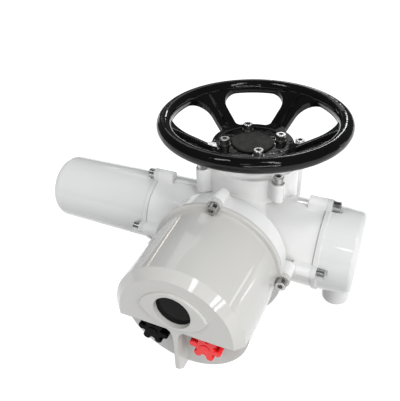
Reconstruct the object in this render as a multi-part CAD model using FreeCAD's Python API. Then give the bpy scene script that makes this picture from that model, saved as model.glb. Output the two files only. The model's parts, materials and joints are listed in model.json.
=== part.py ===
import FreeCAD, Part
import math
import os

os.makedirs("parts", exist_ok=True)
V = FreeCAD.Vector

# Electric valve actuator with a top handwheel. Millimetres.
# Z is up along the output column. X points from the motor to the terminal end.
# The control cover with its window faces minus Y.
# The origin is the centre of the mounting flange's underside.

# Mounting flange of the F10 size
base_flange_r = 62.5
base_flange_t = 16.0
base_neck_r = 56.0
base_top_z = 26.0
base_bore_r = 25.0
base_bolt_pcd = 102.0
base_bolt_hole_r = 5.0
base_bolt_depth = 18.0
base_screw_circle_r = 44.0
counterbore_r = 7.0
counterbore_depth = 9.0

# Worm gear pair
gear_module = 1.5
wheel_teeth = 38
wheel_width = 14.0
worm_pitch_r = 9.5
worm_thread_length = 44.0
mesh_play = 0.3
lead = math.pi * gear_module
wheel_pitch_r = gear_module * wheel_teeth / 2
centre_distance = worm_pitch_r + wheel_pitch_r

# Main axes
motor_axis_y = -centre_distance
motor_axis_z = 98.0
control_axis_z = 108.3

# Gear housing
column_r = 63.0
cavity_r = column_r - 13.0
upper_chamber_r = column_r - 11.0
housing_top_z = 181.0
right_post_z = 163.0
left_post_z = 154.0
rear_post_z = 108.0
top_tap_depth = 20.0
top_screw_length = 24.0
neck_motor_r = 50.5
neck_terminal_r = 56.5
motor_joint_x = -122.7
terminal_joint_x = 111.3
motor_chamber_r = 42.0
motor_chamber_x = -78.0
terminal_chamber_r = 47.0
terminal_ledge_r = 40.0
terminal_ledge_x = terminal_joint_x - 20.3
terminal_web_x = terminal_ledge_x - 11.0
joint_chamfer = 0.7
drum_back_y = -95.0
drum_r = 80.0
drum_joint_r = 83.5
drum_core_r = 57.5
control_joint_y = -128.0
control_floor_y = -102.0
control_chamber_r = 71.0
boss_r = 8.0
end_boss_length = 22.5
end_tap_depth = 20.0
end_screw_length = 26.0
control_boss_length = 23.0
control_tap_depth = 21.0
control_screw_length = 26.0

# Covers
cover_flange_t = 6.0
end_flange_t = 7.0
control_flange_r = 85.7
control_body_r = 79.2
control_bevel_r = 77.0
control_inner_r = 72.5
control_face_y = -247.2
control_bevel_y = control_face_y + 9.9
control_face_r = 67.5
control_inner_y = control_face_y + 29.2
control_screw_r = 85.7
window_z = 135.0
window_r = 21.5
glass_r = 25.0
glass_t = 6.0
window_depth = 6.2
eye_half_length = 39.7
eye_half_height = 26.0
eye_height = 2.6
glass_front_y = control_face_y - eye_height + window_depth
glass_back_y = glass_front_y + glass_t
chord_z = control_axis_z - 3.5
recess_y = control_face_y + 22.2
fin_half = 2.6
knob_x = 32.0
knob_z = control_axis_z - 25.0
motor_screw_r = 56.0
motor_cover_r = 49.2
motor_cover_end_r = 47.2
motor_flange_r = 51.5
motor_cover_end_x = -292.0
motor_cover_round = 14.0
motor_cover_bore_r = 43.5
terminal_screw_r = 61.7
terminal_turn = 3.5
terminal_flange_r = 58.6
terminal_cover_r = 57.0
terminal_cover_end_r = 54.0
terminal_cover_end_x = 160.4
terminal_cover_bore_r = 49.5
entry_x = 139.3
entry_r = 19.0
entry_tip_z = 12.0
entry_bore_r = 12.0
top_flange_t = 7.0
top_raise_r = column_r - 7.0
top_raise_z = 193.9
top_screw_circle_r = column_r + 9.55
top_screw_xy = top_screw_circle_r * math.sqrt(0.5)
seal_section = 2.6
cover_gap = 0.05

# Output column
sleeve_r = 20.0
sleeve_bore_r = 15.0
sleeve_foot_r = 27.0
sleeve_bottom_z = 30.0
sleeve_top_z = 145.5
column_bearing_r = 34.0
column_bearing_w = 15.0
lower_bearing_z = 58.0
upper_bearing_z = 124.0
cavity_bottom_z = 74.0
upper_web_z = 123.0
upper_web_top_z = 142.0
socket_r = 21.0
socket_depth = 16.0
drive_bore_r = 14.0
drive_bush_bottom_z = 4.0
key_width = 8.0
key_depth = 3.3
running_gap = 0.05

# Worm shaft and motor
shaft_r = 8.5
shaft_shoulder_r = 10.5
worm_bearing_r = 20.0
worm_bearing_w = 12.0
worm_bearing_x = 54.0
rear_bearing_x = motor_cover_end_x + 10.0
rotor_r = 26.5
rotor_x0 = motor_cover_end_x + 35.0
rotor_x1 = motor_joint_x - 20.3
air_gap = 0.5

# Handwheel and hand drive
wheel_rise = 133.8
wheel_plane_z = control_axis_z + wheel_rise
rim_outer_r = 125.0
rim_tube_r = 9.4
hub_top_z = wheel_plane_z - 33.7
hub_plate_t = 8.0
hub_plate_r = 48.0
hub_flange_r = 46.0
hub_flange_t = 6.0
hub_shaft_r = 22.0
hub_bore_r = 16.0
hub_screw_circle_r = 37.4
hub_screw_angle = 29.5
cap_r = 28.0
cap_top_z = wheel_plane_z - 30.8
spoke_angle = 0.5
spoke_half_in = 12.0
spoke_half_out = 13.6
spoke_rib_half = 2.2
window_in_r = 54.0
window_out_r = 108.0
window_round_out = 21.0
window_round_in = 9.0
bush_r = 28.0
clutch_travel = 5.0
clutch_z = 146.0
lever_x = 10.0
lever_shaft_r = 6.0
lever_length = 66.0

# Fasteners: M8 socket screws
screw_r = 4.0
head_r = 6.5
head_h = 8.0
washer_t = 1.6
clear_hole_r = 4.5
spot_r = 7.4
spot_depth = 12.0


def cyl_x(r, x0, x1, y=0.0, z=0.0):
    return Part.makeCylinder(r, x1 - x0, V(x0, y, z), V(1, 0, 0))


def cyl_y(r, y0, y1, x=0.0, z=0.0):
    return Part.makeCylinder(r, y1 - y0, V(x, y0, z), V(0, 1, 0))


def cyl_z(r, z0, z1, x=0.0, y=0.0):
    return Part.makeCylinder(r, z1 - z0, V(x, y, z0), V(0, 0, 1))


def cone_x(r0, r1, x0, x1, y, z):
    return Part.makeCone(r0, r1, x1 - x0, V(x0, y, z), V(1, 0, 0))


def cone_y(r0, r1, y0, y1, x, z):
    return Part.makeCone(r0, r1, y1 - y0, V(x, y0, z), V(0, 1, 0))


def box(x0, x1, y0, y1, z0, z1):
    return Part.makeBox(x1 - x0, y1 - y0, z1 - z0, V(x0, y0, z0))


def union(shapes):
    out = shapes[0].fuse(shapes[1:]) if len(shapes) > 1 else shapes[0]
    return out.removeSplitter()


def group(shapes):
    return Part.makeCompound(shapes)


def spin(shape, angle, centre=V(0, 0, 0), axis=V(0, 0, 1)):
    out = shape.copy()
    out.rotate(centre, axis, angle)
    return out


def moved(shape, vec):
    out = shape.copy()
    out.translate(vec)
    return out


def prism(points, direction):
    wire = Part.makePolygon(points + [points[0]])
    return Part.Face(wire).extrude(direction)


def round_edges(shape, radius, test):
    edges = [e for e in shape.Edges if test(e)]
    return shape.makeFillet(radius, edges)


def circle_at(edge, axis, value, radius=None):
    if edge.Curve.TypeId != "Part::GeomCircle":
        return False
    centre = edge.Curve.Center
    place = {"x": centre.x, "y": centre.y, "z": centre.z}[axis]
    if abs(place - value) > 0.01:
        return False
    return radius is None or abs(edge.Curve.Radius - radius) < 0.01


def revolve(profile, origin, direction):
    # profile is a list of (along, radius) pairs round an axis line
    line = V(direction)
    line.normalize()
    side = V(0, 0, 1) if abs(line.z) < 0.5 else V(1, 0, 0)
    points = [V(origin) + line * a + side * r for a, r in profile]
    wire = Part.makePolygon(points + [points[0]])
    return Part.Face(wire).revolve(V(origin), line, 360)


def place(shape, origin, direction):
    # turns a shape made along plus Z so that its Z lies along direction
    out = shape.copy()
    turn = FreeCAD.Rotation(V(0, 0, 1), V(direction))
    out.Placement = FreeCAD.Placement(V(origin), turn).multiply(out.Placement)
    return out


def hexagon(across, height, z0):
    r = across / math.sqrt(3)
    pts = [V(r * math.cos(math.radians(60 * k)), r * math.sin(math.radians(60 * k)), z0) for k in range(6)]
    return prism(pts, V(0, 0, height))


def socket_screw(origin, direction, length):
    # origin is the seat under the head and direction points to the tip
    head = Part.makeCylinder(head_r, head_h, V(0, 0, -head_h))
    head = head.makeChamfer(0.6, [e for e in head.Edges if circle_at(e, "z", -head_h)])
    head = head.cut(hexagon(6.0, 4.0, -head_h))
    shank = Part.makeCylinder(screw_r, length, V(0, 0, 0))
    return place(union([head, shank]), origin, direction)


def washer(origin, direction):
    ring = Part.makeCylinder(head_r + 0.6, washer_t, V(0, 0, -washer_t))
    ring = ring.cut(Part.makeCylinder(screw_r + 0.2, washer_t, V(0, 0, -washer_t)))
    return place(ring, origin, direction)


def ring_x(r_out, r_in, x0, x1, y, z):
    return cyl_x(r_out, x0, x1, y, z).cut(cyl_x(r_in, x0 - 1, x1 + 1, y, z))


def ring_y(r_out, r_in, y0, y1, x, z):
    return cyl_y(r_out, y0, y1, x, z).cut(cyl_y(r_in, y0 - 1, y1 + 1, x, z))


def ring_z(r_out, r_in, z0, z1, x=0.0, y=0.0):
    return cyl_z(r_out, z0, z1, x, y).cut(cyl_z(r_in, z0 - 1, z1 + 1, x, y))


def bearing(r_in, r_out, width, origin, direction):
    # shielded ball bearing with its races proud of the shields
    race = min(3.5, (r_out - r_in) / 4)
    dip = 0.8
    pts = [
        (0, r_in), (0, r_in + race), (dip, r_in + race), (dip, r_out - race), (0, r_out - race), (0, r_out),
        (width, r_out), (width, r_out - race), (width - dip, r_out - race), (width - dip, r_in + race),
        (width, r_in + race), (width, r_in),
    ]
    return revolve(pts, origin, direction)


def polar(centre, radius, angle, plane):
    a = math.radians(angle)
    u = radius * math.cos(a)
    w = radius * math.sin(a)
    if plane == "yz":
        return V(centre.x, centre.y - u, centre.z + w)
    if plane == "xz":
        return V(centre.x + u, centre.y, centre.z + w)
    return V(centre.x + u, centre.y + w, centre.z)


def save(name, shape):
    shape.exportStep("parts/" + name + ".step")


MY = motor_axis_y
MZ = motor_axis_z
CZ = control_axis_z
motor_point = V(motor_joint_x, MY, MZ)
terminal_point = V(terminal_joint_x, MY, MZ)
control_point = V(0, control_joint_y, CZ)
quarter = [0, 90, 180, 270]
motor_screws = [polar(motor_point, motor_screw_r, a, "yz") for a in quarter]
terminal_screws = [polar(terminal_point, terminal_screw_r, a + terminal_turn, "yz") for a in quarter]
control_screws = [polar(control_point, control_screw_r, a, "xz") for a in quarter]
corners = [(1, 1), (1, -1), (-1, 1), (-1, -1)]
top_screws = [V(sx * top_screw_xy, sy * top_screw_xy, housing_top_z) for sx, sy in corners]
base_screws = [V(0, 0, 0) + polar(V(0, 0, 0), base_screw_circle_r, a, "xy") for a in quarter]

# Mounting base
base = union([cyl_z(base_flange_r, 0, base_flange_t), cyl_z(base_neck_r, base_flange_t, base_top_z)])
base = round_edges(base, 2.0, lambda e: circle_at(e, "z", base_flange_t, base_flange_r))
base = base.cut(cyl_z(base_bore_r, -1, base_top_z + 1))
for k in range(4):
    p = polar(V(0, 0, 0), base_bolt_pcd / 2, 45 + 90 * k, "xy")
    base = base.cut(cyl_z(base_bolt_hole_r, -1, base_bolt_depth, p.x, p.y))
for p in base_screws:
    base = base.cut(cyl_z(counterbore_r, -1, counterbore_depth, p.x, p.y))
    base = base.cut(cyl_z(clear_hole_r, -1, base_top_z + 1, p.x, p.y))
save("mounting_base", base)
up = V(0, 0, 1)
base_screw_length = base_top_z - counterbore_depth + 16
screws = [socket_screw(V(p.x, p.y, counterbore_depth), up, base_screw_length) for p in base_screws]
save("mounting_base_screws", group(screws))

# Gear housing, outside
column = cyl_z(column_r, base_top_z, housing_top_z)
motor_neck = cyl_x(neck_motor_r, motor_joint_x, 0, MY, MZ)
rim = [e for e in motor_neck.Edges if circle_at(e, "x", motor_joint_x)]
motor_neck = motor_neck.makeChamfer(joint_chamfer, rim)
terminal_neck = cyl_x(neck_terminal_r, 0, terminal_joint_x, MY, MZ)
rim = [e for e in terminal_neck.Edges if circle_at(e, "x", terminal_joint_x)]
terminal_neck = terminal_neck.makeChamfer(joint_chamfer, rim)
core = cyl_y(drum_core_r, drum_back_y, 0, 0, CZ)
drum = cone_y(drum_joint_r, drum_r, control_joint_y, drum_back_y, 0, CZ)
drum = round_edges(drum, 6.0, lambda e: circle_at(e, "y", drum_back_y, drum_r))
drum = drum.makeChamfer(joint_chamfer, [e for e in drum.Edges if circle_at(e, "y", control_joint_y)])
outside = [column, motor_neck, terminal_neck, core, drum]
for p in top_screws:
    foot_z = right_post_z if p.x > 0 else left_post_z
    if p.y > 0:
        foot_z = rear_post_z
    post = cyl_z(boss_r, foot_z, housing_top_z, p.x, p.y)
    web = box(-boss_r, boss_r, 0, math.hypot(p.x, p.y), foot_z, housing_top_z)
    web = spin(web, math.degrees(math.atan2(p.y, p.x)) - 90)
    outside += [post, web]
for p in motor_screws:
    end = motor_joint_x + end_boss_length
    post = cyl_x(boss_r, motor_joint_x, end, p.y, p.z)
    web = box(motor_joint_x, end, MY - boss_r, MY + boss_r, MZ, MZ + motor_screw_r)
    angle = math.degrees(math.atan2(-(p.y - MY), p.z - MZ))
    outside += [post, spin(web, angle, V(0, MY, MZ), V(1, 0, 0))]
for p in terminal_screws:
    end = terminal_joint_x - end_boss_length
    post = cyl_x(boss_r, end, terminal_joint_x, p.y, p.z)
    web = box(end, terminal_joint_x, MY - boss_r, MY + boss_r, MZ, MZ + terminal_screw_r)
    angle = math.degrees(math.atan2(-(p.y - MY), p.z - MZ))
    outside += [post, spin(web, angle, V(0, MY, MZ), V(1, 0, 0))]
for p in control_screws:
    end = control_joint_y + control_boss_length
    outside.append(cyl_y(boss_r, control_joint_y, end, p.x, p.z))
    web = box(-boss_r, boss_r, control_joint_y, end, CZ, CZ + control_screw_r)
    angle = math.degrees(math.atan2(p.x, p.z - CZ))
    outside.append(spin(web, angle, V(0, 0, CZ), V(0, 1, 0)))
rib_x = motor_joint_x + end_boss_length - 1
casting_rib = box(rib_x, -column_r + 12, MY - 2.5, MY + 2.5, MZ, MZ + neck_motor_r + 2.2)
outside.append(casting_rib)
lever_z = clutch_z + 4.5 + clutch_travel / 2
outside.append(cyl_y(12.0, 40, column_r + 3, lever_x, lever_z))
housing = union(outside)

# Gear housing, inside
seal_pocket_r = 35.0
seal_pocket_top = 35.0
inside = [
    cyl_z(seal_pocket_r, base_top_z - 1, seal_pocket_top),
    cyl_z(sleeve_foot_r + 1, base_top_z, lower_bearing_z + 1),
    cyl_z(column_bearing_r, lower_bearing_z, housing_top_z),
    cyl_z(cavity_r, cavity_bottom_z, upper_web_z),
    cyl_z(upper_chamber_r, upper_web_top_z, housing_top_z + 1),
    cyl_x(worm_bearing_r, motor_chamber_x - 1, terminal_web_x + 1, MY, MZ),
    cyl_x(motor_chamber_r, motor_joint_x - 1, motor_chamber_x, MY, MZ),
    cyl_x(terminal_ledge_r, terminal_web_x, terminal_joint_x, MY, MZ),
    cyl_x(terminal_chamber_r, terminal_ledge_x, terminal_joint_x + 1, MY, MZ),
    cyl_y(control_chamber_r, control_joint_y - 1, control_floor_y, 0, CZ),
    cyl_y(lever_shaft_r + running_gap, 40, column_r + 10, lever_x, lever_z),
]
sensor_r = 5.0
sensor_z = 117.0
magnet_r = 33.0
inside.append(cyl_y(sensor_r, control_floor_y - 1, -cavity_r + 5, 0, sensor_z))
for p in top_screws:
    inside.append(cyl_z(screw_r, housing_top_z - top_tap_depth, housing_top_z + 1, p.x, p.y))
for p in motor_screws:
    inside.append(cyl_x(screw_r, motor_joint_x - 1, motor_joint_x + end_tap_depth, p.y, p.z))
for p in terminal_screws:
    inside.append(cyl_x(screw_r, terminal_joint_x - end_tap_depth, terminal_joint_x + 1, p.y, p.z))
for p in control_screws:
    inside.append(cyl_y(screw_r, control_joint_y - 1, control_joint_y + control_tap_depth, p.x, p.z))
for p in base_screws:
    inside.append(cyl_z(screw_r, base_top_z - 1, base_top_z + 18, p.x, p.y))
housing = housing.cut(inside)
save("gear_housing", housing)

# Top cover with the bush that carries the hand drive
top_z = housing_top_z + top_flange_t
cover = [cyl_z(column_r, housing_top_z, top_z)]
for p in top_screws:
    cover.append(cyl_z(boss_r, housing_top_z, top_z, p.x, p.y))
    web = box(-boss_r, boss_r, 0, math.hypot(p.x, p.y), housing_top_z, top_z)
    cover.append(spin(web, math.degrees(math.atan2(p.y, p.x)) - 90))
raise_disc = cyl_z(top_raise_r, top_z - 1, top_raise_z)
raise_disc = round_edges(raise_disc, 3.0, lambda e: circle_at(e, "z", top_raise_z))
cover.append(raise_disc)
cover.append(cyl_z(upper_chamber_r - cover_gap, housing_top_z - 6, housing_top_z + 1))
top_cover = union(cover)
inner_boss = ring_z(bush_r + 8, bush_r, housing_top_z - 9, housing_top_z + 3)
top_cover = top_cover.cut(cyl_z(upper_chamber_r - 6, housing_top_z - 7, housing_top_z + 6))
top_cover = union([top_cover, inner_boss.common(cyl_z(bush_r + 8, housing_top_z - 9, housing_top_z + 7))])
top_cover = top_cover.cut(cyl_z(bush_r, housing_top_z - 20, top_raise_z + 1))
gasket_z = housing_top_z - 4.5
seal_r = upper_chamber_r
gasket = ring_z(seal_r - cover_gap, seal_r - seal_section, gasket_z, gasket_z + seal_section)
top_cover = top_cover.cut(gasket)
for p in top_screws:
    top_cover = top_cover.cut(cyl_z(clear_hole_r, housing_top_z - 1, top_z + 1, p.x, p.y))
inner_join = ring_z(bush_r + 8, bush_r, housing_top_z + 2, top_z)
top_cover = union([top_cover, inner_join])
save("top_cover", top_cover)
save("top_cover_seal", gasket)
down = V(0, 0, -1)
screws = [socket_screw(V(p.x, p.y, top_z + washer_t), down, top_screw_length) for p in top_screws]
screws += [washer(V(p.x, p.y, top_z + washer_t - washer_t), down) for p in top_screws]
save("top_cover_screws", group(screws))

# Output column: sleeve, worm wheel, drive bush, bearings and seal
foot = cyl_z(sleeve_foot_r, sleeve_bottom_z, lower_bearing_z)
sleeve = union([foot, cyl_z(sleeve_r, lower_bearing_z - 1, sleeve_top_z + 12)])
sleeve = sleeve.cut(cyl_z(sleeve_bore_r, 0, 200))
sleeve = sleeve.cut(cyl_z(socket_r, 0, sleeve_bottom_z + socket_depth))
save("output_sleeve", sleeve)


def gear_wire(z, turn):
    half = (lead / 2 - mesh_play / 2) / 2
    steps = [(gear_module * -1.27, half + 0.42), (gear_module * 1.0, half - 0.48)]
    points = []
    pitch = 360.0 / wheel_teeth
    for k in range(wheel_teeth):
        mid = -90 + pitch / 2 + pitch * k + turn
        for side in (-1, 1):
            order = steps if side < 0 else list(reversed(steps))
            for rise, thick in order:
                r = wheel_pitch_r + rise
                a = math.radians(mid) + side * thick / r
                points.append(V(r * math.cos(a), r * math.sin(a), z))
    return Part.makePolygon(points + [points[0]])


lean = math.degrees(wheel_width / 2 * lead / (2 * math.pi * worm_pitch_r) / wheel_pitch_r)
low = gear_wire(MZ - wheel_width / 2, -lean)
high = gear_wire(MZ + wheel_width / 2, lean)
wheel = Part.makeLoft([low, high], True, True)
wheel_hub = cyl_z(sleeve_r + 4, cavity_bottom_z - 0.5, MZ + wheel_width / 2 + 2)
wheel = wheel.fuse(wheel_hub).cut(cyl_z(sleeve_r, 0, 200))
save("worm_wheel", wheel)
magnet_ring = ring_z(magnet_r, sleeve_r, sensor_z - 3, sensor_z + 3)
magnet_hub = ring_z(sleeve_r + 4, sleeve_r, MZ + wheel_width / 2 + 2, upper_web_z + 0.5)
save("position_magnet_ring", union([magnet_ring, magnet_hub]))
column_fit_r = sleeve_r + running_gap
lower_bearing = bearing(column_fit_r, column_bearing_r, column_bearing_w, V(0, 0, lower_bearing_z), up)
upper_bearing = bearing(column_fit_r, column_bearing_r, column_bearing_w, V(0, 0, upper_bearing_z), up)
save("column_bearings", group([lower_bearing, upper_bearing]))
seal_pts = [
    (0, sleeve_foot_r + 0.3), (0, seal_pocket_r), (7.5, seal_pocket_r), (7.5, seal_pocket_r - 1.8),
    (1.8, seal_pocket_r - 1.8), (1.8, sleeve_foot_r + 2), (5, sleeve_foot_r + 0.3),
]
save("column_oil_seal", revolve(seal_pts, V(0, 0, base_top_z + 1), up))
bush = union([
    cyl_z(base_bore_r - 2, drive_bush_bottom_z, sleeve_bottom_z - 0.2),
    cyl_z(socket_r - running_gap, sleeve_bottom_z - 1, sleeve_bottom_z + socket_depth - 0.2),
])
bush = bush.cut(cyl_z(drive_bore_r, -1, 60))
keyway = box(-key_width / 2, key_width / 2, 0, drive_bore_r + key_depth, -1, 60)
save("drive_bush", bush.cut(keyway))
sensor = cyl_y(sensor_r, control_floor_y - 8, -magnet_r - 1, 0, sensor_z)
sensor = union([sensor, cyl_y(sensor_r + 4, control_floor_y - 8, control_floor_y, 0, sensor_z)])
save("position_sensor", sensor)

# Worm shaft with its thread, bearings, seal and thrust springs
half_thread = (lead / 2 - mesh_play) / 2
turns = worm_thread_length / lead
tip_r = worm_pitch_r + gear_module
root_r = worm_pitch_r - 1.27 * gear_module
helix = Part.makeHelix(lead, worm_thread_length, root_r)
slope = math.tan(math.radians(20))
base_half = half_thread + (worm_pitch_r - root_r + 0.4) * slope
tip_half = half_thread - gear_module * slope
section = Part.makePolygon([
    V(root_r - 0.4, 0, -base_half), V(tip_r, 0, -tip_half), V(tip_r, 0, tip_half),
    V(root_r - 0.4, 0, base_half), V(root_r - 0.4, 0, -base_half),
])
thread = Part.Wire(helix).makePipeShell([section], True, True)
thread.rotate(V(0, 0, 0), V(0, 1, 0), 90)
start = -lead * (math.floor(turns / 2)) - lead / 4
thread.translate(V(start, MY, MZ))
shaft = [
    cyl_x(root_r, -27, 27, MY, MZ),
    cyl_x(shaft_shoulder_r, -worm_bearing_x, -26, MY, MZ),
    cyl_x(shaft_shoulder_r, 26, worm_bearing_x, MY, MZ),
    cyl_x(shaft_r, rear_bearing_x, -worm_bearing_x + 1, MY, MZ),
    cyl_x(shaft_r, worm_bearing_x - 1, terminal_web_x - 2, MY, MZ),
]
worm = union(shaft).fuse(thread)
save("worm_shaft", worm)
xdir = V(1, 0, 0)
bearings = [
    bearing(shaft_r + running_gap, worm_bearing_r, worm_bearing_w, V(x, MY, MZ), xdir)
    for x in (worm_bearing_x, -worm_bearing_x - worm_bearing_w, rear_bearing_x)
]
save("worm_shaft_bearings", group(bearings))
seal = [
    (0, shaft_r + 0.3), (0, worm_bearing_r), (7, worm_bearing_r), (7, worm_bearing_r - 1.8),
    (1.8, worm_bearing_r - 1.8), (1.8, shaft_r + 2.5), (5, shaft_r + 0.3),
]
save("motor_shaft_seal", revolve(seal, V(motor_chamber_x + 1, MY, MZ), xdir))
discs = []
spring_x = worm_bearing_x + worm_bearing_w
spring_n = 6
step = (terminal_web_x - spring_x) / spring_n
for k in range(spring_n):
    a = spring_x + step * k
    if k % 2:
        pts = [(a, 16), (a + 1.2, 16), (a + step, 9.2), (a + step - 1.2, 9.2)]
    else:
        pts = [(a, 9.2), (a + 1.2, 9.2), (a + step, 16), (a + step - 1.2, 16)]
    discs.append(revolve(pts, V(0, MY, MZ), xdir))
save("thrust_disc_springs", group(discs))
cap = cyl_x(28, terminal_web_x, terminal_web_x + 5, MY, MZ)
cap = union([cap, cyl_x(9, terminal_web_x + 4, terminal_ledge_x - 2, MY, MZ)])
save("worm_end_cap", cap)

# Motor
rotor = cyl_x(rotor_r, rotor_x0, rotor_x1, MY, MZ)
rotor = union([rotor, cyl_x(rotor_r - 4, rotor_x0 - 6, rotor_x1 + 6, MY, MZ)])
save("motor_rotor", rotor.cut(cyl_x(shaft_r, -400, 0, MY, MZ)))
stator = ring_x(motor_cover_bore_r, rotor_r + air_gap, rotor_x0 + 2, rotor_x1 - 2, MY, MZ)
save("motor_stator", stator)
coil_a = ring_x(41, rotor_r + 3, rotor_x0 - 11, rotor_x0 + 2, MY, MZ)
coil_b = ring_x(41, rotor_r + 3, rotor_x1 - 2, rotor_x1 + 11, MY, MZ)
coil_a = round_edges(coil_a, 4.0, lambda e: circle_at(e, "x", rotor_x0 - 11, 41))
coil_b = round_edges(coil_b, 4.0, lambda e: circle_at(e, "x", rotor_x1 + 11, 41))
save("motor_windings", group([coil_a, coil_b]))
front_x = motor_joint_x - end_flange_t
mc = cone_x(motor_cover_end_r, motor_cover_r, motor_cover_end_x, motor_joint_x, MY, MZ)
mc = round_edges(mc, motor_cover_round, lambda e: circle_at(e, "x", motor_cover_end_x))
flange = cyl_x(motor_flange_r, front_x, motor_joint_x, MY, MZ)
rim = [e for e in flange.Edges if circle_at(e, "x", motor_joint_x)]
flange = flange.makeChamfer(joint_chamfer, rim)
flange = round_edges(flange, 1.5, lambda e: circle_at(e, "x", front_x, motor_flange_r))
parts = [mc, flange]
for p in motor_screws:
    parts.append(cyl_x(boss_r, front_x, motor_joint_x, p.y, p.z))
    web = box(front_x, motor_joint_x, MY - boss_r, MY + boss_r, MZ, MZ + motor_screw_r)
    angle = math.degrees(math.atan2(-(p.y - MY), p.z - MZ))
    parts.append(spin(web, angle, V(0, MY, MZ), V(1, 0, 0)))
parts.append(cyl_x(motor_chamber_r - cover_gap, motor_joint_x - 1, motor_joint_x + 7, MY, MZ))
motor_cover = union(parts)
end_in = motor_cover_end_x + 6
motor_cover = motor_cover.cut(cyl_x(motor_chamber_r - 4, -200, motor_joint_x + 8, MY, MZ))
hollow = cyl_x(motor_cover_bore_r, end_in, motor_joint_x - 2, MY, MZ)
hollow = round_edges(hollow, motor_cover_round - 2, lambda e: circle_at(e, "x", end_in))
seat = ring_x(worm_bearing_r + 5, worm_bearing_r, end_in - 1, rear_bearing_x + worm_bearing_w, MY, MZ)
motor_cover = motor_cover.cut(hollow.cut(seat))
motor_cover = motor_cover.cut(cyl_x(motor_cover_bore_r, rotor_x0 - 2, motor_joint_x - 1, MY, MZ))
seal_x = motor_joint_x + 2
seal_r = motor_chamber_r - cover_gap
motor_seal = ring_x(seal_r, motor_chamber_r - seal_section, seal_x, seal_x + seal_section, MY, MZ)
motor_cover = motor_cover.cut(motor_seal)
for p in motor_screws:
    motor_cover = motor_cover.cut(cyl_x(clear_hole_r, front_x - 1, motor_joint_x + 1, p.y, p.z))
    motor_cover = motor_cover.cut(cyl_x(spot_r, front_x - spot_depth, front_x, p.y, p.z))
save("motor_cover", motor_cover)
save("motor_cover_seal", motor_seal)
screws = []
for p in motor_screws:
    screws.append(socket_screw(V(front_x - washer_t, p.y, p.z), xdir, end_screw_length))
    screws.append(washer(V(front_x, p.y, p.z), xdir))
save("motor_cover_screws", group(screws))

# Terminal end: block with studs, cover with a blanked cable entry
block = cyl_x(terminal_chamber_r - cover_gap, terminal_ledge_x, terminal_ledge_x + 12, MY, MZ)
block = round_edges(block, 1.5, lambda e: circle_at(e, "x", terminal_ledge_x + 12))
rib = box(terminal_ledge_x + 11, terminal_ledge_x + 20, MY - 38, MY + 38, MZ - 2, MZ + 2)
rib2 = box(terminal_ledge_x + 11, terminal_ledge_x + 20, MY - 1.5, MY + 1.5, MZ - 1, MZ + 38)
save("terminal_block", union([block, rib, rib2]))
studs = []
face_x = terminal_ledge_x + 12
for k in range(3):
    y = MY - 22 + 22 * k
    studs.append(cyl_x(2.5, face_x, face_x + 16, y, MZ - 22 + 6 * abs(k - 1)))
for k in range(7):
    a = 18 + 24 * k
    for r in (22, 36):
        p = polar(V(face_x, MY, MZ), r, a, "yz")
        if abs(p.y - MY) > 4:
            studs.append(cyl_x(1.8, face_x, face_x + 11, p.y, p.z))
save("terminal_studs", group(studs))
back_x = terminal_joint_x + end_flange_t
tc = cone_x(terminal_cover_r, terminal_cover_end_r, terminal_joint_x, terminal_cover_end_x, MY, MZ)
tc = round_edges(tc, 7.0, lambda e: circle_at(e, "x", terminal_cover_end_x))
flange = cyl_x(terminal_flange_r, terminal_joint_x, back_x, MY, MZ)
flange = flange.makeChamfer(joint_chamfer, [e for e in flange.Edges if circle_at(e, "x", terminal_joint_x)])
flange = round_edges(flange, 1.2, lambda e: circle_at(e, "x", back_x, terminal_flange_r))
parts = [tc, flange]
for p in terminal_screws:
    parts.append(cyl_x(boss_r, terminal_joint_x, back_x, p.y, p.z))
    web = box(terminal_joint_x, back_x, MY - boss_r, MY + boss_r, MZ, MZ + terminal_screw_r)
    angle = math.degrees(math.atan2(-(p.y - MY), p.z - MZ))
    parts.append(spin(web, angle, V(0, MY, MZ), V(1, 0, 0)))
entry_length = MZ - terminal_cover_bore_r + 2.5 - entry_tip_z
entry = Part.makeCone(entry_r - 1.5, entry_r, entry_length, V(entry_x, MY, entry_tip_z), up)
entry = round_edges(entry, 5.5, lambda e: circle_at(e, "z", entry_tip_z))
parts.append(entry.common(cyl_x(200, terminal_joint_x + 1, terminal_cover_end_x - 1, MY, MZ)))
parts.append(cyl_x(terminal_chamber_r - cover_gap, terminal_joint_x - 5, terminal_joint_x + 1, MY, MZ))
terminal_cover = union(parts)
hollow = cyl_x(terminal_cover_bore_r, terminal_joint_x + 5, terminal_cover_end_x - 6, MY, MZ)
hollow = round_edges(hollow, 4.0, lambda e: circle_at(e, "x", terminal_cover_end_x - 6))
terminal_cover = terminal_cover.cut(hollow)
mouth = cyl_x(terminal_chamber_r - 4, terminal_joint_x - 6, terminal_joint_x + 6, MY, MZ)
terminal_cover = terminal_cover.cut(mouth)
terminal_cover = terminal_cover.cut(cyl_z(entry_bore_r, entry_tip_z - 1, MZ - 30, entry_x, MY))
seal_x = terminal_joint_x - 4
seal_r = terminal_chamber_r - cover_gap
terminal_seal = ring_x(seal_r, terminal_chamber_r - seal_section, seal_x, seal_x + seal_section, MY, MZ)
terminal_cover = terminal_cover.cut(terminal_seal)
for p in terminal_screws:
    terminal_cover = terminal_cover.cut(cyl_x(clear_hole_r, terminal_joint_x - 1, back_x + 1, p.y, p.z))
    terminal_cover = terminal_cover.cut(cyl_x(spot_r, back_x, back_x + spot_depth, p.y, p.z))
save("terminal_cover", terminal_cover)
save("terminal_cover_seal", terminal_seal)
screws = []
minus_x = V(-1, 0, 0)
for p in terminal_screws:
    screws.append(socket_screw(V(back_x + washer_t, p.y, p.z), minus_x, end_screw_length))
    screws.append(washer(V(back_x, p.y, p.z), minus_x))
save("terminal_cover_screws", group(screws))
plug = cyl_z(entry_bore_r, entry_tip_z + 1.5, entry_tip_z + 15, entry_x, MY)
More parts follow.
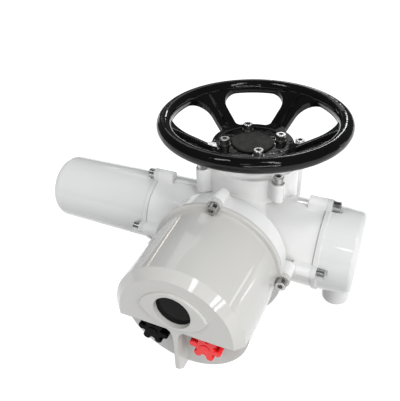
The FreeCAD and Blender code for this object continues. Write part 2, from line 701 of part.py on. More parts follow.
plug = plug.cut(moved(hexagon(10, 6, entry_tip_z + 1.5), V(entry_x, MY, 0)))
save("cable_entry_plug", plug)

# Control cover with the window, the recess, the fin and the selector pins
front_y = control_joint_y - cover_flange_t
body = [cone_y(control_bevel_r, control_body_r, control_bevel_y, control_joint_y, 0, CZ)]
body.append(cone_y(control_face_r, control_bevel_r, control_face_y, control_bevel_y, 0, CZ))
flange = cyl_y(control_flange_r - 0.7, front_y, control_joint_y, 0, CZ)
flange = flange.makeChamfer(joint_chamfer, [e for e in flange.Edges if circle_at(e, "y", control_joint_y)])
body.append(round_edges(flange, 1.5, lambda e: circle_at(e, "y", front_y)))
for p in control_screws:
    body.append(cyl_y(boss_r + 0.5, front_y, control_joint_y, p.x, p.z))
shell = union(body)
envelope = shell.copy()
shell = shell.cut(box(-100, 100, control_face_y - 5, recess_y, 0, chord_z))
fin = box(-fin_half, fin_half, control_face_y, recess_y + 1, 0, chord_z + 1)
half_gusset = [(11, 1), (6, -3), (3.6, -9), (fin_half, -17)]
outline = [(-x, z) for x, z in half_gusset] + list(reversed(half_gusset))
gusset = [V(x, control_face_y, chord_z + z) for x, z in outline]
gusset = prism(gusset, V(0, recess_y + 1 - control_face_y, 0))
shell = union([shell, union([fin, gusset]).common(envelope)])
eye_big = (eye_half_length ** 2 + eye_half_height ** 2) / (2 * eye_half_height)
eye_off = eye_big - eye_half_height
pad = cyl_y(eye_big, control_face_y - eye_height, control_face_y + 1, 0, window_z - eye_off)
pad = pad.common(cyl_y(eye_big, control_face_y - eye_height, control_face_y + 1, 0, window_z + eye_off))
pad = round_edges(pad, 1.8, lambda e: circle_at(e, "y", control_face_y - eye_height))
shell = union([shell, pad])
hollow = [cyl_y(control_inner_r, control_inner_y, control_joint_y + 1, 0, CZ)]
deep = cyl_y(control_inner_r - 2, control_face_y + 7.5, control_inner_y + 1, 0, CZ)
deep = deep.common(box(-100, 100, -300, 0, chord_z + 7, 300))
trim = cyl_y(control_face_r - 7, control_face_y, control_inner_y + 1, 0, CZ)
deep = deep.common(union([trim, cyl_y(control_inner_r - 2, control_bevel_y + 4, control_inner_y + 1, 0, CZ)]))
retainer_t = 3.0
deep = deep.cut(cyl_y(glass_r + 5, control_face_y, glass_back_y + retainer_t, 0, window_z))
hollow.append(deep)
shell = shell.cut(hollow)
shell = shell.cut(cyl_y(window_r, control_face_y - 10, control_inner_y, 0, window_z))
shell = shell.cut(cyl_y(glass_r, glass_front_y, control_inner_y + 1, 0, window_z))
pin_r = 4.0
pin_back_y = recess_y + 4.5
for s in (-1, 1):
    shell = shell.cut(cyl_y(pin_r, recess_y - 1, pin_back_y, s * knob_x, knob_z))
seal_r = control_chamber_r + 2.5
control_seal = ring_y(seal_r + seal_section, seal_r, control_joint_y - seal_section, control_joint_y, 0, CZ)
shell = shell.cut(control_seal)
for p in control_screws:
    shell = shell.cut(cyl_y(clear_hole_r, front_y - 1, control_joint_y + 1, p.x, p.z))
    shell = shell.cut(cyl_y(spot_r, front_y - spot_depth, front_y, p.x, p.z))
save("control_cover", shell)
save("control_cover_seal", control_seal)
ydir = V(0, 1, 0)
screws = []
for p in control_screws:
    screws.append(socket_screw(V(p.x, front_y - washer_t, p.z), ydir, control_screw_length))
    screws.append(washer(V(p.x, front_y, p.z), ydir))
save("control_cover_screws", group(screws))
save("window_glass", cyl_y(glass_r, glass_front_y, glass_back_y, 0, window_z))
retainer = ring_y(glass_r, window_r + 0.5, glass_back_y, glass_back_y + retainer_t, 0, window_z)
save("window_retainer", retainer)

# Selector knobs on fixed pins, with a magnet in each
lobe_r = 4.7
lobe_circle_r = 14.0
lobe_angle = -9.0
valley_r = 3.1
magnet_offset = 9.5
knob_front_y = control_face_y + 5.4
knob_back_y = recess_y - 4.5
pin_front_y = knob_front_y + 4
pins = []
for s in (-1, 1):
    pins.append(cyl_y(pin_r, pin_front_y, pin_back_y, s * knob_x, knob_z))
    pins.append(ring_y(7, pin_r, knob_back_y + 0.3, recess_y, s * knob_x, knob_z))
save("selector_pins", group(pins))


def selector(x):
    # a star knob with six round lobes and deep valleys
    front = knob_front_y + 0.8
    disc = [cyl_y(lobe_circle_r, front, knob_back_y, x, knob_z)]
    for k in range(6):
        p = polar(V(x, 0, knob_z), lobe_circle_r, lobe_angle + 60 * k, "xz")
        disc.append(cyl_y(lobe_r, front, knob_back_y, p.x, p.z))
    knob = union(disc)
    for k in range(6):
        p = polar(V(x, 0, knob_z), lobe_circle_r, lobe_angle + 30 + 60 * k, "xz")
        knob = knob.cut(cyl_y(valley_r, front - 1, knob_back_y + 1, p.x, p.z))
    knob = round_edges(knob, 1.2, lambda e: abs(e.BoundBox.YMax - front) < 0.01 and e.BoundBox.YLength < 0.01)
    knob = union([knob, cyl_y(6.0, knob_front_y, knob_front_y + 3, x, knob_z)])
    knob = knob.cut(cyl_y(pin_r + 0.06, pin_front_y - 0.2, knob_back_y + 1, x, knob_z))
    knob = knob.cut(cyl_y(3.0, knob_back_y - 3, knob_back_y + 1, x, knob_z - magnet_offset))
    return knob


save("selector_knob_black", selector(-knob_x))
save("selector_knob_red", selector(knob_x))
save("black_selector_magnet", cyl_y(3.0, knob_back_y - 3, knob_back_y, -knob_x, knob_z - magnet_offset))
save("red_selector_magnet", cyl_y(3.0, knob_back_y - 3, knob_back_y, knob_x, knob_z - magnet_offset))

# Electronics in the control chamber
board_y = -154.0
posts = []
for a in (45, 135, 225, 315):
    p = polar(V(0, 0, CZ), control_chamber_r - 17, a, "xz")
    posts.append(cyl_y(3.5, board_y, control_floor_y, p.x, p.z))
board_r = control_chamber_r - 9
board = cyl_y(board_r, board_y - 1.6, board_y, 0, CZ)
save("main_circuit_board", board)
save("power_transformer", union([
    box(-52, -12, control_floor_y - 34, control_floor_y, CZ - 22, CZ + 20),
    box(-42, -22, control_floor_y - 40, control_floor_y, CZ - 30, CZ + 28),
]))
save("motor_contactor", union([
    box(12, 52, control_floor_y - 38, control_floor_y, CZ - 24, CZ + 6),
    box(17, 47, control_floor_y - 45, control_floor_y - 37, CZ - 20, CZ + 2),
]))
chip_list = [
    (-30, 20, 24, 14, 6), (29, 18, 16, 16, 10), (-40, -20, 16, 20, 8),
    (12, -30, 22, 22, 7), (-6, -8, 14, 14, 4),
]
chips = []
for x, z, w, h, t in chip_list:
    chips.append(box(x, x + w, board_y - 1.6 - t, board_y - 1.6, CZ + z, CZ + z + h))
save("board_components", group(chips))
display_y = glass_back_y + retainer_t
screen = box(-20, 20, display_y + 0.2, display_y + 8, window_z - 15, window_z + 15)
save("display_screen", screen)
disp_board = cyl_y(32, display_y + 8, display_y + 9.6, 0, window_z)
disp_board = disp_board.common(box(-40, 40, display_y, board_y, chord_z + 8, window_z + 40))
save("display_board", disp_board)
for sx in (-1, 1):
    for sz in (-1, 1):
        posts.append(cyl_y(2.5, display_y + 9.6, board_y - 1.6, sx * 24, window_z + sz * 13))
save("board_pillars", group(posts))
sensor_board = box(-45, 45, control_inner_y, control_inner_y + 1.6, knob_z - 18, knob_z - 2)
save("selector_sensor_board", sensor_board)



def spot(r, angle, z):
    return V(r * math.cos(angle), r * math.sin(angle), z)


def arc_z(r, a0, a1, z):
    return Part.Arc(spot(r, a0, z), spot(r, (a0 + a1) / 2, z), spot(r, a1, z)).toShape()


# Handwheel: a round rim, five dished spokes and a hub plate
rim_r = rim_outer_r - rim_tube_r
rim = Part.makeTorus(rim_r, rim_tube_r, V(0, 0, wheel_plane_z), up)
hub_low_z = hub_top_z - hub_plate_t
dish = revolve([
    (hub_low_z, cap_r), (hub_top_z, cap_r), (hub_top_z, hub_plate_r), (hub_top_z + 3, 60),
    (wheel_plane_z - 1, rim_r - 9), (wheel_plane_z + 1, rim_r - 5), (wheel_plane_z - 6, rim_r - 5),
    (wheel_plane_z - 9, rim_r - 9), (hub_top_z - 5, 62), (hub_low_z, hub_plate_r),
], V(0, 0, 0), up)
pitch = 72.0
for k in range(5):
    a0 = math.radians(spoke_angle + pitch * k)
    a1 = math.radians(spoke_angle + pitch * (k + 1))
    pts = []
    for r, w in ((window_in_r, spoke_half_in), (window_out_r, spoke_half_out)):
        d = math.asin(w / r)
        pts.append((r, a0 + d, a1 - d))
    (ri, i0, i1), (ro, o0, o1) = pts
    z0 = hub_low_z - 5
    inner = arc_z(ri, i0, i1, z0)
    outer = arc_z(ro, o0, o1, z0)
    side0 = Part.makeLine(spot(ri, i0, z0), spot(ro, o0, z0))
    side1 = Part.makeLine(spot(ri, i1, z0), spot(ro, o1, z0))
    wire = Part.Wire(Part.__sortEdges__([inner, side1, outer, side0]))
    opening = Part.Face(wire).extrude(V(0, 0, 80))
    upright = [e for e in opening.Edges if abs(e.BoundBox.ZLength - 80) < 0.01]
    far = [e for e in upright if math.hypot(e.CenterOfMass.x, e.CenterOfMass.y) > window_out_r - 5]
    opening = opening.makeFillet(window_round_out, far)
    upright = [e for e in opening.Edges if abs(e.BoundBox.ZLength - 80) < 0.01]
    near = [e for e in upright if math.hypot(e.CenterOfMass.x, e.CenterOfMass.y) < window_in_r + 1]
    opening = opening.makeFillet(window_round_in, near)
    dish = dish.cut(opening)
ribs = []
for k in range(5):
    rib = prism([
        V(50, -spoke_rib_half, hub_top_z), V(60, -spoke_rib_half, hub_top_z + 5.5),
        V(rim_r - 9, -spoke_rib_half, wheel_plane_z + 2.5), V(rim_r - 9, -spoke_rib_half, wheel_plane_z - 8),
        V(62, -spoke_rib_half, hub_top_z - 2),
    ], V(0, 2 * spoke_rib_half, 0))
    ribs.append(spin(rib, spoke_angle + pitch * k))
handwheel = dish.fuse([rim] + ribs)
hub_screws = []
for k in range(4):
    p = polar(V(0, 0, hub_top_z), hub_screw_circle_r, hub_screw_angle + 90 * k, "xy")
    hub_screws.append(p)
    handwheel = handwheel.cut(cyl_z(clear_hole_r, hub_low_z - 1, hub_top_z + 1, p.x, p.y))
save("handwheel", handwheel)
wheel_washer_t = 2.2
hub_screw_length = wheel_washer_t + hub_plate_t + hub_flange_t
screws = [socket_screw(V(p.x, p.y, hub_top_z + wheel_washer_t), down, hub_screw_length) for p in hub_screws]
save("handwheel_screws", group(screws))
rings = []
for p in hub_screws:
    rings.append(ring_z(head_r + 0.8, screw_r + 0.1, hub_top_z, hub_top_z + wheel_washer_t, p.x, p.y))
save("handwheel_spring_washers", group(rings))
cap = cyl_z(cap_r, hub_low_z + 2, cap_top_z)
cap = cap.makeChamfer(1.0, [e for e in cap.Edges if circle_at(e, "z", cap_top_z)])
save("handwheel_cap", cap)
driver_z = clutch_z + 9 + 3 + clutch_travel + 0.5
hub = cyl_z(hub_flange_r, hub_low_z - hub_flange_t, hub_low_z)
hub = union([hub, cyl_z(hub_shaft_r, driver_z + 0.5, hub_low_z - 1)])
hub = hub.cut(cyl_z(hub_bore_r, driver_z - 10, hub_top_z))
for p in hub_screws:
    hub = hub.cut(cyl_z(screw_r, hub_low_z - hub_flange_t - 1, hub_low_z + 1, p.x, p.y))
save("hand_drive_hub", hub)
hand_bush = ring_z(bush_r, hub_shaft_r + running_gap, housing_top_z - 9, top_raise_z - 4.5)
save("hand_drive_bush", hand_bush)
seal = [
    (0, hub_shaft_r + 0.3), (0, bush_r), (4, bush_r), (4, bush_r - 1.5), (1.5, bush_r - 1.5),
    (1.5, hub_shaft_r + 2), (3.5, hub_shaft_r + 0.3),
]
save("hand_drive_seal", revolve(seal, V(0, 0, top_raise_z - 4.5), up))


def dogs(r_out, r_in, z0, z1, turn):
    out = []
    for k in range(4):
        a0 = turn + 90 * k - 19
        ring = Part.makeCylinder(r_out, z1 - z0, V(0, 0, z0), up, 38)
        ring = ring.cut(cyl_z(r_in, z0 - 1, z1 + 1))
        out.append(spin(ring, a0))
    return out


driver = ring_z(28, hub_shaft_r, driver_z, driver_z + 6)
save("hand_clutch_driver", driver.fuse(dogs(28, hub_shaft_r + 0.0, driver_z - 3, driver_z + 1, 0)))
ring = ring_z(28, sleeve_r + running_gap, clutch_z, clutch_z + 9)
ring = ring.cut(ring_z(30, 25, clutch_z + 2.5, clutch_z + 6.5))
ring = ring.fuse(dogs(28, hub_shaft_r, clutch_z + 8, clutch_z + 12, 45))
save("clutch_ring", ring)

# Hand and auto lever with its shaft, cranked pin and spring
pin_z = clutch_z + 4.5
lever_shaft = [cyl_y(lever_shaft_r, 31, column_r + 12, lever_x, lever_z)]
arm = union([cyl_y(8, 31, 36, lever_x, lever_z), cyl_y(4, 31, 36, 0, pin_z)])
across = [V(lever_x, 31, lever_z + 7.5), V(lever_x, 31, lever_z - 7.5)]
across += [V(0, 31, pin_z - 4), V(0, 31, pin_z + 4)]
across = prism(across, V(0, 5, 0))
pin = cyl_y(1.7, 25.4, 32, 0, pin_z)
save("lever_shaft", union(lever_shaft + [arm, across, pin]))
handle_y0 = column_r + 3.5
handle_y1 = column_r + 12
grip = [cyl_y(12, handle_y0, handle_y1, lever_x, lever_z)]
grip_z = lever_z - lever_length
blade = [V(lever_x - 9, handle_y0, lever_z), V(lever_x + 9, handle_y0, lever_z)]
blade += [V(lever_x + 7, handle_y0, grip_z), V(lever_x - 7, handle_y0, grip_z)]
grip.append(prism(blade, V(0, handle_y1 - handle_y0, 0)))
grip.append(cyl_y(7, handle_y0, handle_y1 + 10, lever_x, grip_z))
lever = union(grip).cut(cyl_y(lever_shaft_r, handle_y0 - 1, handle_y1 + 1, lever_x, lever_z))
save("hand_auto_lever", lever)
coil_pitch = 2.4
coil = Part.makeHelix(coil_pitch, coil_pitch * 3, lever_shaft_r + 1.1)
wire_half = 0.8
low_r = lever_shaft_r + 0.3
high_r = low_r + 2 * wire_half
ring_section = Part.makePolygon([V(high_r, 0, -wire_half), V(high_r, 0, wire_half), V(low_r, 0, wire_half),
                                 V(low_r, 0, -wire_half), V(high_r, 0, -wire_half)])
coil = Part.Wire(coil).makePipeShell([ring_section], True, True)
coil.rotate(V(0, 0, 0), V(1, 0, 0), -90)
coil.translate(V(lever_x, 37.0, lever_z))
save("lever_return_spring", coil)
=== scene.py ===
import bpy
import json
import math
from mathutils import Matrix, Vector

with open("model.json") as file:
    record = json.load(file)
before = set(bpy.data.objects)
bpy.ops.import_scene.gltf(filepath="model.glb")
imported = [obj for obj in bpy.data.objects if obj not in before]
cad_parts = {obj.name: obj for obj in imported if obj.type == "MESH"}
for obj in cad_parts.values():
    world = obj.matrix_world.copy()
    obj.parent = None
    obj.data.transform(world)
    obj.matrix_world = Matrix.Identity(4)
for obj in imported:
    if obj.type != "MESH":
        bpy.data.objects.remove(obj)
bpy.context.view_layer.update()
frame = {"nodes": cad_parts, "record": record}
nodes = frame["nodes"]

# Lengths are in metres, angles in degrees and lamp powers in watts, unless a comment says otherwise.

# Camera, fitted to the outlines in the photo
CAMERA_PLACE = (0.1773, -0.5478, 0.5142)
CAMERA_RIGHT = (0.9097, 0.4137, -0.0360)
CAMERA_FORWARD = (-0.3578, 0.7369, -0.5737)
SENSOR_WIDTH = 36.0  # millimetres
FOCAL_LENGTH = 43.58  # millimetres
LENS_SHIFT = (0.01215, 0.00723)
CLIP_NEAR, CLIP_FAR = 0.02, 20.0

# Materials: most of a noise texture's values lie between these two
NOISE_LOW, NOISE_HIGH = 0.3, 0.7
BEVEL_SAMPLES = 6
# Painted shade in creases: the base colour is darkened in folds, down to the share given below at the
# deepest point
CREASE_SAMPLES = 8
CREASE_SHADE_LEVEL = 0.35  # share of the colour that is left at the bottom of a fold
CREASE_START, CREASE_END = 0.35, 0.85
MIX_A, MIX_B, MIX_RESULT = 6, 7, 2  # colour sockets of a Mix node
SOCKETS = {
    "coat": "Coat Weight",
    "coat_rough": "Coat Roughness",
    "ior": "IOR",
    "spec": "Specular IOR Level",
    "trans": "Transmission Weight",
}

# Floor and room
FLOOR_HALF = 4.0
FLOOR_GREY = (0.35, 0.35, 0.35)
FLOOR_GLOW = 0.84  # added where the floor is seen, so that it reads white and keeps the shadow
SKY_COLOR = (0.95, 0.97, 1.0)
SKY_DIFFUSE = 0.46  # strength that lights matt surfaces
SKY_MIRRORED = 0.1  # strength that shows in a mirror

# Lamps
WHITE = (1.0, 1.0, 1.0)
WARM = (1.0, 0.88, 0.76)
MIDDLE = (0.0, -0.1, 0.14)  # roughly the middle of the part, as the photo shows it


def place_camera():
    data = bpy.data.cameras.new("camera")
    camera = bpy.data.objects.new("camera", data)
    bpy.context.scene.collection.objects.link(camera)
    right = Vector(CAMERA_RIGHT).normalized()
    forward = Vector(CAMERA_FORWARD).normalized()
    upward = right.cross(forward).normalized()
    right = forward.cross(upward).normalized()
    axes = Matrix((right, upward, -forward)).transposed().to_4x4()
    camera.matrix_world = Matrix.Translation(CAMERA_PLACE) @ axes
    data.sensor_width = SENSOR_WIDTH
    data.lens = FOCAL_LENGTH
    data.shift_x, data.shift_y = LENS_SHIFT
    data.clip_start = CLIP_NEAR
    data.clip_end = CLIP_FAR
    bpy.context.scene.camera = camera


class Mat:
    """One node material around a Principled shader. Each method adds one layer to it."""

    def __init__(self, name, color, rough, metal=0.0, edge=0.0):
        self.mat = bpy.data.materials.new(name)
        self.mat.use_nodes = True
        self.tree = self.mat.node_tree
        self.tree.nodes.clear()
        self.color = color
        output = self.add("ShaderNodeOutputMaterial")
        self.bsdf = self.add("ShaderNodeBsdfPrincipled")
        self.bsdf.inputs["Metallic"].default_value = metal
        self.bsdf.inputs["Roughness"].default_value = rough
        self.bsdf.inputs["Base Color"].default_value = (*color, 1.0)
        self.link(self.bsdf, "BSDF", output, "Surface")
        self.coord = self.add("ShaderNodeTexCoord")
        self.normal = None
        if edge:
            # sharp edges look rounded by this radius
            self.normal = self.add("ShaderNodeBevel", samples=BEVEL_SAMPLES)
            self.normal.inputs["Radius"].default_value = edge
            self.link(self.normal, "Normal", self.bsdf, "Normal")

    def add(self, kind, **props):
        node = self.tree.nodes.new(kind)
        for key, value in props.items():
            setattr(node, key, value)
        return node

    def link(self, a, out, b, into):
        self.tree.links.new(a.outputs[out], b.inputs[into])

    def noise(self, scale, detail, rough=0.5, stretch=None):
        node = self.add("ShaderNodeTexNoise")
        node.inputs["Scale"].default_value = scale
        node.inputs["Detail"].default_value = detail
        node.inputs["Roughness"].default_value = rough
        if stretch:
            mapping = self.add("ShaderNodeMapping")
            mapping.inputs["Scale"].default_value = stretch
            self.link(self.coord, "Object", mapping, "Vector")
            self.link(mapping, "Vector", node, "Vector")
        else:
            self.link(self.coord, "Object", node, "Vector")
        return node

    def ramp(self, source, out, low, high, start, end):
        node = self.add("ShaderNodeValToRGB")
        for element, position, color in zip(node.color_ramp.elements, (start, end), (low, high)):
            element.position = position
            element.color = (*color, 1.0)
        self.link(source, out, node, "Fac")
        return node

    def shade(self, scale, low, high, detail=4.0, start=NOISE_LOW, end=NOISE_HIGH):
        # the colour wanders between low and high times its own value
        noise = self.noise(scale, detail, rough=0.6)
        dark = tuple(c * low for c in self.color)
        pale = tuple(min(1.0, c * high) for c in self.color)
        ramp = self.ramp(noise, "Fac", dark, pale, start, end)
        self.link(ramp, "Color", self.bsdf, "Base Color")
        return ramp

    def gloss(self, scale, low, high, detail=3.0, stretch=None):
        # the roughness wanders between low and high
        noise = self.noise(scale, detail, stretch=stretch)
        node = self.add("ShaderNodeMapRange")
        node.inputs["From Min"].default_value = NOISE_LOW
        node.inputs["From Max"].default_value = NOISE_HIGH
        node.inputs["To Min"].default_value = low
        node.inputs["To Max"].default_value = high
        self.link(noise, "Fac", node, "Value")
        self.link(node, "Result", self.bsdf, "Roughness")

    def bump(self, scale, height, strength, detail=2.0, stretch=None):
        noise = self.noise(scale, detail, stretch=stretch)
        node = self.add("ShaderNodeBump")
        node.inputs["Strength"].default_value = strength
        node.inputs["Distance"].default_value = height
        self.link(noise, "Fac", node, "Height")
        if self.normal is not None:
            self.link(self.normal, "Normal", node, "Normal")
        self.normal = node
        self.link(node, "Normal", self.bsdf, "Normal")

    def painted_crease_shade(self, source, reach):
        # painted shade: the base colour is darkened where the surface folds in on itself, in place of the
        # shade that falls there
        near = self.add("ShaderNodeAmbientOcclusion", samples=CREASE_SAMPLES)
        near.inputs["Distance"].default_value = reach
        tone = self.ramp(near, "AO", (CREASE_SHADE_LEVEL,) * 3, WHITE, CREASE_START, CREASE_END)
        mix = self.add("ShaderNodeMix", data_type="RGBA", blend_type="MULTIPLY")
        mix.inputs["Factor"].default_value = 1.0
        self.link(source, "Color", mix, MIX_A)
        self.link(tone, "Color", mix, MIX_B)
        self.link(mix, MIX_RESULT, self.bsdf, "Base Color")

    def set(self, **values):
        for key, value in values.items():
            self.bsdf.inputs[SOCKETS[key]].default_value = value


def enamel(name, color):
    # gloss enamel over a sand casting: slight tone changes, faint waviness, fine orange peel
    m = Mat(name, color, 0.24, edge=0.0011)
    m.shade(5.0, 0.985, 1.01, detail=3.0)
    m.gloss(30.0, 0.2, 0.27)
    m.bump(17.0, height=0.0007, strength=0.14, detail=1.0)
    m.bump(330.0, height=0.00002, strength=0.3, detail=1.0)
    m.set(coat=0.75, coat_rough=0.055, spec=0.1)
    return m.mat


def wheel_enamel(name):
    # thick gloss black over cast iron, with the casting's grain under it
    m = Mat(name, (0.003, 0.003, 0.0032), 0.06, edge=0.0016)
    m.shade(14.0, 0.7, 1.5, detail=5.0)
    m.gloss(45.0, 0.03, 0.11)
    m.bump(60.0, height=0.0012, strength=0.4)
    m.bump(260.0, height=0.00016, strength=0.5)
    m.set(spec=0.3)
    return m.mat


def metal(name, color, low, high, scale=160.0, stretch=None):
    m = Mat(name, color, 0.3, metal=1.0, edge=0.0003)
    m.shade(70.0, 0.86, 1.05)
    m.gloss(scale, low, high, detail=4.0, stretch=stretch)
    m.bump(700.0, height=0.00003, strength=0.5, stretch=stretch)
    return m.mat


def plastic(name, color, low, high, coat=0.0, grain=380.0, depth=0.00004, edge=0.0006, spec=0.5, crease_shade_reach=0.0):
    m = Mat(name, color, 0.4, edge=edge)
    tint = m.shade(30.0, 0.85, 1.12)
    # painted shade darkens the colour in the creases
    if crease_shade_reach:
        m.painted_crease_shade(tint, crease_shade_reach)
    m.gloss(90.0, low, high)
    m.bump(grain, height=depth, strength=0.5)
    m.set(coat=coat, coat_rough=0.05, spec=spec)
    return m.mat


def cap_finish(name):
    # matte disc with fine speckle
    m = Mat(name, (0.0155, 0.0155, 0.0132), 0.6)
    m.shade(420.0, 0.7, 1.5, detail=3.0)
    m.gloss(120.0, 0.5, 0.7)
    m.bump(900.0, height=0.00012, strength=0.6)
    return m.mat


def glass_finish(name):
    # smoked glass
    m = Mat(name, (0.008, 0.0085, 0.0075), 0.03)
    m.shade(25.0, 0.9, 1.1, detail=2.0)
    m.gloss(35.0, 0.01, 0.06)
    m.set(trans=0.25, ior=1.22, spec=0.15)
    return m.mat


def board_finish(name):
    # circuit board: the narrow ramp gives patches with crisp edges, like copper under the varnish
    m = Mat(name, (0.02, 0.15, 0.05), 0.5)
    m.shade(240.0, 0.6, 1.25, detail=1.0, start=0.49, end=0.51)
    m.gloss(120.0, 0.35, 0.55)
    m.bump(300.0, height=0.00005, strength=0.5)
    return m.mat


def dress_nodes():
    finishes = {
        "body_enamel": enamel("body_enamel", (0.675, 0.675, 0.67)),
        "wheel_enamel": wheel_enamel("wheel_enamel"),
        "steel": metal("steel", (0.56, 0.57, 0.58), 0.25, 0.42),
        "stainless_screw": metal("stainless_screw", (0.52, 0.52, 0.51), 0.24, 0.38, scale=260.0),
        "bronze": metal("bronze", (0.66, 0.43, 0.20), 0.28, 0.42),
        "brass": metal("brass", (0.72, 0.52, 0.24), 0.22, 0.36),
        "copper_windings": plastic("copper_windings", (0.42, 0.14, 0.05), 0.3, 0.45,
                                   coat=0.3, grain=900.0, depth=0.0002),
        "laminated_steel": metal("laminated_steel", (0.28, 0.28, 0.29), 0.35, 0.5,
                                 scale=500.0, stretch=(8.0, 1.0, 1.0)),
        "seal_rubber": plastic("seal_rubber", (0.02, 0.02, 0.02), 0.5, 0.7),
        "cap_plastic": cap_finish("cap_plastic"),
        "knob_black": plastic("knob_black", (0.0018, 0.0018, 0.002), 0.07, 0.2, coat=0.03,
                              grain=240.0, depth=0.0004, edge=0.001, spec=0.02, crease_shade_reach=0.008),
        "knob_red": plastic("knob_red", (0.84, 0.01, 0.014), 0.06, 0.2, coat=0.2,
                            grain=160.0, depth=0.0006, edge=0.0014, spec=0.3, crease_shade_reach=0.008),
        "window_glass": glass_finish("window_glass"),
        "board_green": board_finish("board_green"),
        "dark_plastic": plastic("dark_plastic", (0.03, 0.03, 0.034), 0.4, 0.55),
        "display_dark": plastic("display_dark", (0.02, 0.03, 0.025), 0.12, 0.2, coat=0.4),
    }
    # the same enamel in two tones, as painted light and shade: the housing and top cover lighter, making
    # up for the shade under the wheel, and the control cover darker, against the stronger light on it
    cover_enamel_dimmed_for_light = enamel("cover_enamel_dimmed_for_light", (0.54, 0.533, 0.512))
    housing_enamel_lightened_for_shade = enamel("housing_enamel_lightened_for_shade", (0.76, 0.76, 0.75))
    light_balanced_paint_of = {"control_cover": cover_enamel_dimmed_for_light, "gear_housing": housing_enamel_lightened_for_shade, "top_cover": housing_enamel_lightened_for_shade}
    slot_of = {part["node"]: part["material_slot"] for part in frame["record"]["subparts"]}
    for name, obj in nodes.items():
        obj.data.materials.clear()
        obj.data.materials.append(light_balanced_paint_of.get(name) or finishes[slot_of[name]])


def floor_finish():
    # matt grey that takes the shadow, with a glow that only the camera, mirrors and glass see
    m = Mat("floor", FLOOR_GREY, 0.7)
    m.shade(2.0, 0.995, 1.0, detail=2.0)
    path = m.add("ShaderNodeLightPath")
    camera_or_mirror = m.add("ShaderNodeMath", operation="MAXIMUM")
    seen = m.add("ShaderNodeMath", operation="MAXIMUM")
    m.link(path, "Is Camera Ray", camera_or_mirror, 0)
    m.link(path, "Is Glossy Ray", camera_or_mirror, 1)
    m.link(camera_or_mirror, 0, seen, 0)
    m.link(path, "Is Transmission Ray", seen, 1)
    glow = m.add("ShaderNodeMath", operation="MULTIPLY")
    glow.inputs[1].default_value = FLOOR_GLOW
    m.link(seen, 0, glow, 0)
    m.bsdf.inputs["Emission Color"].default_value = (*WHITE, 1.0)
    m.link(glow, 0, m.bsdf, "Emission Strength")
    return m.mat


def make_world():
    world = bpy.data.worlds.new("world")
    bpy.context.scene.world = world
    world.use_nodes = True
    tree = world.node_tree
    back = tree.nodes["Background"]
    back.inputs["Color"].default_value = (*SKY_COLOR, 1.0)
    path = tree.nodes.new("ShaderNodeLightPath")
    strength = tree.nodes.new("ShaderNodeMapRange")
    strength.inputs["To Min"].default_value = SKY_DIFFUSE
    strength.inputs["To Max"].default_value = SKY_MIRRORED
    tree.links.new(path.outputs["Is Glossy Ray"], strength.inputs["Value"])
    tree.links.new(strength.outputs["Result"], back.inputs["Strength"])


def lamp(name, spot, azimuth, height_angle, distance, size_x, size_y, power, color=WHITE, roll=0.0,
         mirrored=True):
    # an area lamp that looks at the spot from the direction and distance given
    data = bpy.data.lights.new(name, "AREA")
    data.shape = "RECTANGLE"
    data.size = size_x
    data.size_y = size_y
    data.energy = power
    data.color = color
    obj = bpy.data.objects.new(name, data)
    bpy.context.scene.collection.objects.link(obj)
    a = math.radians(azimuth)
    b = math.radians(height_angle)
    flat = distance * math.cos(b)
    place = (spot[0] + flat * math.cos(a), spot[1] + flat * math.sin(a), spot[2] + distance * math.sin(b))
    obj.location = place
    obj.visible_glossy = mirrored
    aim = (Vector(spot) - Vector(place)).to_track_quat("-Z", "Y").to_matrix()
    obj.rotation_euler = (aim @ Matrix.Rotation(math.radians(roll), 3, "Z")).to_euler()


# Broad lamps round the middle of the part. Mirrors don't show them, because the paint and the wheel
# would have large pale patches from them.
# Columns: name, azimuth, angle above the level, distance, two sizes, power
SOFTBOXES = [
    ("front_softbox", -30.0, 32.0, 2.6, 1.3, 1.1, 12.0),
    ("right_softbox", -14.0, 14.0, 2.4, 1.0, 0.7, 17.0),
    ("left_softbox", -135.0, 18.0, 2.4, 0.9, 0.9, 7.5),
    ("back_softbox", 75.0, 9.0, 2.6, 1.3, 0.8, 12.0),
]

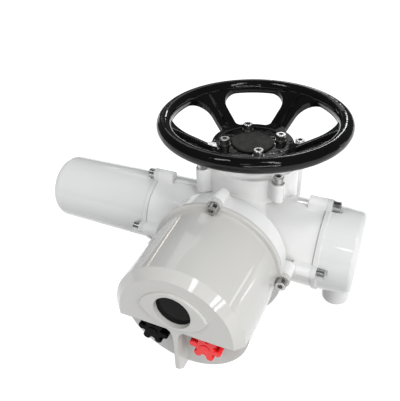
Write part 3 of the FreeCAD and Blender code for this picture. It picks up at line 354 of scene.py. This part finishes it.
# Lamps that are seen in mirrors. All but the first lie where the mirror image falls on one spot of
# the surface, so that the highlights are where the photo has them.
# Columns: name, spot, azimuth, angle above the level, distance, two sizes, power, colour, roll
MIRRORED_LAMPS = [
    ("back_wall", MIDDLE, 116.0, 38.0, 4.0, 2.0, 1.2, 9.0, WHITE, 0.0),
    ("cover_left", (-0.0345, -0.1979, 0.1786), 139.5, 5.5, 2.4, 0.06, 0.5, 0.55, WARM, -45.0),
    ("cover_right", (0.0608, -0.205, 0.1576), 40.0, 6.0, 2.2, 0.3, 0.12, 0.4, WHITE, -34.0),
    ("cover_low_right", (0.0663, -0.1973, 0.1498), 40.5, -6.0, 1.1, 0.12, 0.03, 0.06, WHITE, -45.0),
    ("bevel_left", (0.0231, -0.2407, 0.1775), -80.0, 41.5, 6.0, 0.65, 0.35, 8.0, WHITE, 0.0),
    ("bevel_right", (0.0509, -0.2419, 0.1607), -45.5, 13.6, 6.0, 0.65, 0.35, 8.0, WHITE, 0.0),
    ("motor_top", (-0.203, -0.034, 0.1463), 124.5, 22.5, 2.2, 0.5, 0.03, 0.15, WHITE, 45.0),
    ("rim_back", (-0.042, 0.098, 0.245), -62.0, 16.0, 6.0, 4.2, 0.5, 70.0, WHITE, 15.0),
    ("rim_front_left", (0.005, -0.121, 0.2495), -129.0, 62.0, 6.0, 0.6, 2.2, 60.0, WHITE, 0.0),
    ("rim_front_right", (0.057, -0.107, 0.249), -38.0, 58.0, 6.0, 0.6, 3.4, 70.0, WHITE, 0.0),
    ("rim_right", (0.114, -0.004, 0.251), 103.0, 23.0, 6.0, 0.8, 0.5, 14.0, WHITE, 0.0),
]

place_camera()
dress_nodes()

# Stage: a pale floor that carries the shadow
s = FLOOR_HALF
floor_mesh = bpy.data.meshes.new("floor")
floor_mesh.from_pydata([(-s, -s, 0), (s, -s, 0), (s, s, 0), (-s, s, 0)], [], [(0, 1, 2, 3)])
floor_mesh.materials.append(floor_finish())
floor = bpy.data.objects.new("floor", floor_mesh)
bpy.context.scene.collection.objects.link(floor)

make_world()
for name, *setting in SOFTBOXES:
    lamp(name, MIDDLE, *setting, mirrored=False)
for setting in MIRRORED_LAMPS:
    lamp(*setting)

bpy.context.scene.view_settings.view_transform = "Standard"
